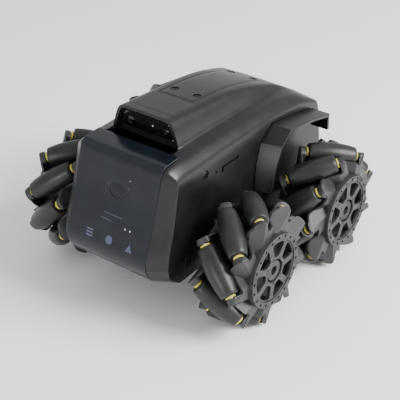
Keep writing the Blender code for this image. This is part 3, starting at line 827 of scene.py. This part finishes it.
def build_screen_marks(looks):
    """Generic pictograms, the status lamps and the camera behind the window."""
    ink = bmesh.new()
    bar = rounded_rectangle(BAR_WIDTH, BAR_HEIGHT, 0.0005)
    for x, shape in PICTOGRAMS:
        if shape == "bars":
            for i in (-1, 0, 1):
                screen_patch(ink, bar, (x, PICTOGRAM_Z + i * BAR_PITCH))
        elif shape == "disc":
            screen_patch(ink, circle(DISC_RADIUS), (x, PICTOGRAM_Z))
        else:
            screen_patch(ink, WEDGE, (x, PICTOGRAM_Z))
    for width, middle in STROKES:
        screen_patch(ink, rounded_rectangle(width, STROKE_HEIGHT, 0.00015), middle)
    tidy_mesh(ink)
    mesh_object("window_pictograms", ink, looks["ink"], "chassis")

    lamps = bmesh.new()
    for radius, middle in STATUS_LAMPS:
        screen_patch(lamps, circle(radius, 12), middle)
    tidy_mesh(lamps)
    mesh_object("window_lamps", lamps, looks["lamp"], "chassis")

    x, z = CAMERA_EYE
    normal = Vector((0, -SCREEN_LEAN_COS, SCREEN_LEAN_SIN)).normalized()
    eye = facing(normal, Vector((x, screen_y(z), z)))
    for name, profile, closed in (("ring", CAMERA_RING, True), ("glass", CAMERA_GLASS, False)):
        bm = turned(bmesh.new(), profile, 48, eye, closed)
        tidy_mesh(bm)
        mesh_object(f"camera_{name}", bm, looks["window"], "chassis")


def hood_outline(across, low, high):
    """The hood's mouth as (x, z), drawn in from the ridge's own section."""
    half = ridge_outline(HOOD_FRONT_Y)
    foot = half[-1][1]
    rise = half[0][1] - foot
    shaped = []
    for x, z in half:
        shaped.append((x * across, foot + low + (z - foot) * (rise - low - high) / rise))
    return shaped + [(-x, z) for x, z in reversed(shaped[1:])]


def build_hood(looks):
    """A chamfered frame round a dark pane, with two lenses, one lamp and two small dots that glow as
    painted glints on the pane.
    """
    layers = (
        (HOOD_OUTER, HOOD_BACK_Y), (HOOD_OUTER, HOOD_EDGE_Y), (HOOD_STEP, HOOD_FRONT_Y),
        (HOOD_INNER, HOOD_INNER_Y), (HOOD_INNER, HOOD_BACK_Y),
    )
    bm = bmesh.new()
    add_loft(bm, [[(x, y, z) for x, z in hood_outline(*shape)] for shape, y in layers], closed=True)
    tidy_mesh(bm, 1e-6)
    mesh_object("hood_rim", bm, looks["shell"], "chassis", 25.0)

    bm = bmesh.new()
    add_loft(bm, [[(x, y, z) for x, z in hood_outline(*HOOD_PANE)] for y in PANE_FACES_Y])
    tidy_mesh(bm, 1e-6)
    pane = mesh_object("sensor_window", bm, looks["glass"], "chassis")
    bevel(pane, 0.0002, 50.0, 2)

    forward = (0, -1, 0)
    for name, x, z, radius in SENSOR_LENSES:
        profile = (
            (-0.0004, radius), (0.0003, radius), (0.0004, radius * 0.9),
            (0.0001, radius * 0.8), (0.0004, radius * 0.4), (0.0005, radius * 0.1),
        )
        bm = turned(bmesh.new(), profile, 32, facing(forward, (x, LENS_BASE_Y, z)))
        tidy_mesh(bm)
        mesh_object(f"sensor_lens_{name}", bm, looks["glass"], "chassis")
    # One real lamp and two small dots that glow as painted glints.
    bm = bmesh.new()
    for x, z, radius in SENSOR_LAMP_AND_GLINTS:
        profile = ((-0.0003, radius), (0.0002, radius), (0.0004, radius * 0.5))
        turned(bm, profile, 14, facing(forward, (x, LENS_BASE_Y, z)))
    tidy_mesh(bm)
    mesh_object("sensor_lamp_and_glints", bm, looks["lamp"], "chassis")


# Wheels

def closed_spline(curve, points):
    spline = curve.splines.new("POLY")
    spline.points.add(len(points) - 1)
    for target, (x, y) in zip(spline.points, points):
        target.co = (x, y, 0, 1)
    spline.use_cyclic_u = True


def add_plate(bm, outlines, low, high):
    """A flat plate with holes, from outlines in the wheel's plane, between two depths."""
    curve = bpy.data.curves.new("plate", "CURVE")
    curve.dimensions = "2D"
    curve.fill_mode = "BOTH"
    curve.extrude = (high - low) / 2 - PLATE_EDGE
    curve.bevel_depth = PLATE_EDGE
    curve.bevel_resolution = 1
    curve.offset = -PLATE_EDGE
    for outline in outlines:
        closed_spline(curve, outline)
    obj = bpy.data.objects.new("plate", curve)
    bpy.context.scene.collection.objects.link(obj)
    bpy.context.view_layer.update()
    graph = bpy.context.evaluated_depsgraph_get()
    mesh = bpy.data.meshes.new_from_object(obj.evaluated_get(graph))
    middle = (high + low) / 2
    mesh.transform(Matrix(((0, 0, 1, middle), (1, 0, 0, 0), (0, 1, 0, 0), (0, 0, 0, 1))))
    bm.from_mesh(mesh)
    bpy.data.objects.remove(obj)
    bpy.data.meshes.remove(mesh)


def hole(radius, distance, angle, count=14):
    x, y = distance * math.cos(angle), distance * math.sin(angle)
    return [(x + a, y + b) for a, b in circle(radius, count)]


def window_outline(index):
    """A rounded opening between two spokes of even width."""
    start = math.tau * index / WINDOWS
    end = start + math.tau / WINDOWS
    points = []
    for radius, first, last in ((WINDOW_OUTER, start, end), (WINDOW_INNER, end, start)):
        lean = math.asin(SPOKE_HALF_WIDTH / radius) * (1 if last > first else -1)
        count = 36 if radius == WINDOW_OUTER else 12
        for i in range(count + 1):
            angle = first + lean + (last - first - 2 * lean) * i / count
            points.append(Vector((radius * math.cos(angle), radius * math.sin(angle))))
    dense = []
    for here, after in zip(points, points[1:] + points[:1]):
        parts = max(round((after - here).length / 0.0005), 1)
        dense += [here.lerp(after, k / parts) for k in range(parts)]
    for _ in range(14):
        count = len(dense)
        dense = [(dense[i - 1] + dense[(i + 1) % count] + dense[i] * 2) / 4 for i in range(count)]
    return [tuple(p) for p in dense[::2]]


def skirt_column(kind, share, radius):
    """The angle and depth of the pleated skirt's point on a fold at a radius."""
    pitch = ROLLER_PITCH
    flat_start = math.asin(FLAT_NEAR / radius)
    flat_end = math.asin(FLAT_FAR / radius)
    bottom = pitch / 2 + math.asin(FOLD_MIDDLE / radius)
    if kind == "flat":
        return flat_start + share * (flat_end - flat_start), SKIRT_FACE
    if kind == "down":
        angle = flat_end + share * (bottom - flat_end)
        return angle, SLOPE_DOWN - radius * math.sin(angle)
    angle = bottom + share * (flat_start + pitch - bottom)
    return angle, SLOPE_UP + radius * math.sin(angle - pitch)


def skirt_rim(kind, share):
    if kind == "flat":
        return smooth_at(FLAT_RIM, share, 1)
    if kind == "down":
        return DOWN_RIM[0] + DOWN_RIM[1] * math.sqrt(1 - share ** 2)
    return UP_RIM


def add_skirt(bm):
    """The pleated plate that carries the rollers' ends, all round the ring."""
    columns = []
    for kind, count in (("flat", 10), ("down", 7), ("up", 5)):
        columns += [(kind, i / count) for i in range(count)]
    sections = []
    for k in range(ROLLERS):
        for kind, share in columns:
            rim = skirt_rim(kind, share)
            top = []
            for row in range(SKIRT_ROWS):
                radius = SKIRT_START + (rim - SKIRT_START) * row / (SKIRT_ROWS - 1)
                angle, depth = skirt_column(kind, share, radius)
                angle += k * ROLLER_PITCH
                top.append(Vector((depth, radius * math.cos(angle), radius * math.sin(angle))))
            below = [p - Vector((SKIRT_THICK, 0, 0)) for p in reversed(top)]
            sections.append(top + below)
    add_loft(bm, sections, closed=True)


def roller_frame(angle, hand=1):
    """A roller's middle and its axis, in a wheel's own frame."""
    outward = Vector((0, math.cos(angle), math.sin(angle)))
    along = Vector((1, -hand * math.sin(angle), hand * math.cos(angle))).normalized()
    return outward * ROLLER_CIRCLE, along


def add_lug(bm, angle):
    """The rounded block at the outer end of one roller."""
    middle, along = roller_frame(angle)
    place = middle + along * sum(LUG_SPAN) / 2
    up = Vector((0, place.y, place.z)).normalized()
    up = (up - along * up.dot(along)).normalized()
    across = up.cross(along)
    if across.x < 0:
        across = -across
    near, beyond = LUG_SPAN
    rings = []
    for step in range(4):
        t = near + (beyond - near) * step / 3
        ring = []
        outline = [(LUG_HALF_WIDTH * math.cos(a), LUG_TOP * math.sin(a))
                   for a in (math.pi * i / 12 for i in range(13))]
        outline += [(-LUG_ROOT_HALF_WIDTH, LUG_ROOT), (LUG_ROOT_HALF_WIDTH, LUG_ROOT)]
        for side, rise in outline:
            base = middle + along * t + up * rise
            limit = (SKIRT_FACE - LUG_SUNK - base.x) / across.x
            ring.append(base + across * min(side, limit))
        rings.append(ring)
    add_loft(bm, rings)


def plate_mesh(material):
    """One side of a wheel with right-handed rollers: ring, web, boss, skirt and lugs."""
    bm = bmesh.new()
    holes = [
        hole(RING_HOLE_RADIUS, RING_HOLE_CIRCLE, math.tau * (i + 0.5) / RING_HOLES)
        for i in range(RING_HOLES)
    ]
    rim = [circle(RING_RADIUS, 120), circle(RING_INNER_RADIUS, 96)]
    add_plate(bm, rim + holes, RING_BACK, RING_FACE)
    web = [circle(WEB_RADIUS, 96), circle(WEB_BORE, 48)]
    web += [window_outline(i) for i in range(WINDOWS)]
    for i in range(WINDOWS):
        for lean in (-WEB_HOLE_LEAN, WEB_HOLE_LEAN):
            web.append(hole(WEB_HOLE_RADIUS, WEB_HOLE_CIRCLE, math.tau * i / WINDOWS + lean, 8))
    add_plate(bm, web, WEB_BACK, WEB_FACE)
    add_plate(bm, [circle(BOSS_RADIUS, 48), circle(BOSS_BORE, 32)], BOSS_BACK, BOSS_FACE)
    bmesh.ops.remove_doubles(bm, verts=bm.verts, dist=1e-6)
    turned(bm, BACKING_RING, 96, closed=True)
    add_skirt(bm)
    for k in range(ROLLERS):
        add_lug(bm, k * ROLLER_PITCH)
    bmesh.ops.recalc_face_normals(bm, faces=bm.faces)
    plate = blank("wheel_plate", bm, material)
    bevel(plate, 0.0003, 32.0, 2)
    shade(plate, 50.0)
    weigh_normals(plate)
    return taken_mesh(plate)


def mirrored_mesh(mesh):
    """The same shape for rollers of the other hand."""
    bm = bmesh.new()
    bm.from_mesh(mesh)
    bmesh.ops.scale(bm, vec=(1, 1, -1), verts=bm.verts)
    bmesh.ops.reverse_faces(bm, faces=bm.faces)
    other = mesh.copy()
    bm.to_mesh(other)
    bm.free()
    return other


def roller_radius(along):
    return WHEEL_RADIUS - math.sqrt(ROLLER_CIRCLE ** 2 + along ** 2 / 2)


def roller_mesh(material):
    """A barrel whose outline stays on the wheel's round rim, with a bored middle."""
    half = ROLLER_HALF_LENGTH
    soft = ROLLER_END_ROUND
    profile = [(-half, ROLLER_BORE), (-half, roller_radius(half) - soft)]
    for i in range(1, 4):
        turn = math.pi / 2 * i / 4
        profile.append((
            -half + soft * (1 - math.cos(turn)), roller_radius(half) - soft * (1 - math.sin(turn)),
        ))
    count = 22
    for i in range(count + 1):
        along = (half - soft) * (2 * i / count - 1)
        profile.append((along, roller_radius(along)))
    profile += [(-along, radius) for along, radius in reversed(profile[:5])]
    bm = bmesh.new()
    turned(bm, profile, 44, closed=True)
    tidy_mesh(bm, 1e-6)
    roller = blank("roller_barrel", bm, material)
    shade(roller, 50.0)
    return taken_mesh(roller)


def drum_mesh(material):
    """The drum between a wheel's two plates, closed behind the windows."""
    profile = [(-along, radius) for along, radius in reversed(DRUM_HALF)]
    profile += DRUM_HALF
    bm = turned(bmesh.new(), profile, 72, closed=True)
    tidy_mesh(bm, 1e-6)
    drum = blank("wheel_drum", bm, material)
    shade(drum)
    return taken_mesh(drum)


def placed(name, mesh, matrix, body):
    """A copy of a mesh, moved to its place."""
    mesh = mesh.copy()
    mesh.transform(matrix)
    obj = bpy.data.objects.new(name, mesh)
    bpy.context.scene.collection.objects.link(obj)
    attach(obj, body)
    return obj


def build_wheel(name, side, end, hand, phase, meshes, looks):
    centre = Vector((side * WHEEL_MIDDLE_X, AXLE_MIDDLE_Y + end * WHEEL_BASE / 2, WHEEL_RADIUS))
    turn = phase if side > 0 else math.pi - phase
    frame_matrix = Matrix.Translation(centre)
    if side < 0:
        frame_matrix = frame_matrix @ Matrix.Rotation(math.pi, 4, "Z")
    frame_matrix = frame_matrix @ Matrix.Rotation(turn, 4, "X")
    body = f"wheel_{name}"
    plate = meshes["plate"] if hand > 0 else meshes["plate_other"]
    outer = placed(f"outer_plate_{name}", plate, frame_matrix, body)
    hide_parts(f"wheel_hub_{name}")
    flipped = frame_matrix @ Matrix.Rotation(math.pi, 4, "Y")
    placed(f"inner_plate_{name}", plate, flipped, body)
    placed(f"hub_barrel_{name}", meshes["drum"], frame_matrix, body)

    bushes = bmesh.new()
    pins = bmesh.new()
    near, beyond = BUSH_SPAN
    chamfer = SMALL_CHAMFER
    bush = (
        (near, BUSH_BORE), (near, BUSH_RADIUS - chamfer), (near + chamfer, BUSH_RADIUS),
        (beyond - chamfer, BUSH_RADIUS), (beyond, BUSH_RADIUS - chamfer), (beyond, BUSH_BORE),
    )
    tip = PIN_HALF_LENGTH
    pin = (
        (-tip, PIN_TIP_RADIUS), (-tip + chamfer, PIN_RADIUS),
        (tip - chamfer, PIN_RADIUS), (tip, PIN_TIP_RADIUS),
    )
    for i in range(ROLLERS):
        middle, along = roller_frame(phase + i * ROLLER_PITCH, hand)
        matrix = facing(along, centre + middle)
        for direction in (-1, 1):
            turned(bushes, bush, 28, facing(along * direction, centre + middle), closed=True)
        turned(pins, pin, 16, matrix)
        roller = f"roller_{name}_{i + 1:02d}"
        barrel = placed(f"{roller}_barrel", meshes["roller"], matrix, roller)
        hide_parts(roller)
    tidy_mesh(bushes, 1e-6)
    tidy_mesh(pins, 1e-6)
    mesh_object(f"bushes_{name}", bushes, looks["bush"], body)
    mesh_object(f"pins_{name}", pins, looks["steel"], body)


def build_wheels(looks):
    plate = plate_mesh(looks["nylon"])
    meshes = {
        "plate": plate, "plate_other": mirrored_mesh(plate),
        "roller": roller_mesh(looks["rubber"]), "drum": drum_mesh(looks["nylon"]),
    }
    for wheel in WHEELS:
        build_wheel(*wheel, meshes, looks)


# CAD nodes that stay in view

def dress_nodes(looks):
    """Gives each CAD node that no piece replaces a finish; motors and shafts are steel."""
    finishes = {
        "battery_pack": "wrap", "main_board": "board", "display_module": "glass",
        "sensor_module": "glass",
    }
    for name, node in NODES.items():
        if node.hide_render:
            continue
        look = finishes.get(name, "steel")
        for material_slot in node.material_slots:
            material_slot.material = looks[look]


# Setting

def build_setting(looks):
    bm = bmesh.new()
    steps = [FLOOR_REACH * (i / 4 - 1) for i in range(9)]
    add_grid(bm, [[Vector((x, y, 0.0)) for x in steps] for y in steps])
    blank("floor", bm, looks["floor"])

    world = bpy.data.worlds.new("studio")
    world.use_nodes = True
    background = world.node_tree.nodes["Background"]
    background.inputs["Color"].default_value = (1.0, 1.0, 1.0, 1)
    background.inputs["Strength"].default_value = WORLD_STRENGTH
    bpy.context.scene.world = world

    for name, place, size, energy in LIGHTS:
        light = bpy.data.lights.new(name, "AREA")
        light.shape = "DISK"
        light.size = size
        light.energy = energy
        lamp = bpy.data.objects.new(name, light)
        bpy.context.scene.collection.objects.link(lamp)
        lamp.location = place
        aim = CAMERA_TARGET - Vector(place)
        lamp.rotation_euler = aim.to_track_quat("-Z", "Y").to_euler()


def build_camera():
    flat = math.cos(CAMERA_ELEVATION)
    back = Vector((
        math.sin(CAMERA_AZIMUTH) * flat, -math.cos(CAMERA_AZIMUTH) * flat, math.sin(CAMERA_ELEVATION),
    ))
    data = bpy.data.cameras.new("camera")
    data.lens = CAMERA_LENS
    data.sensor_width = CAMERA_SENSOR
    camera = bpy.data.objects.new("camera", data)
    bpy.context.scene.collection.objects.link(camera)
    camera.location = CAMERA_TARGET + back * CAMERA_DISTANCE
    camera.rotation_euler = (-back).to_track_quat("-Z", "Y").to_euler()
    bpy.context.scene.camera = camera


def main():
    looks = make_materials()
    build_shell(looks)
    build_hatch(looks)
    build_screws(looks)
    build_window(looks)
    build_screen_marks(looks)
    build_hood(looks)
    for node, width in (("chin_bumper", 0.0008), ("chassis_tub", 0.0008), ("rear_panel", 0.0006)):
        rounded_copy(node, width, looks)
    build_fender("fender_left", 1, looks)
    build_fender("fender_right", -1, looks)
    build_wheels(looks)
    dress_nodes(looks)
    build_setting(looks)
    build_camera()


main()
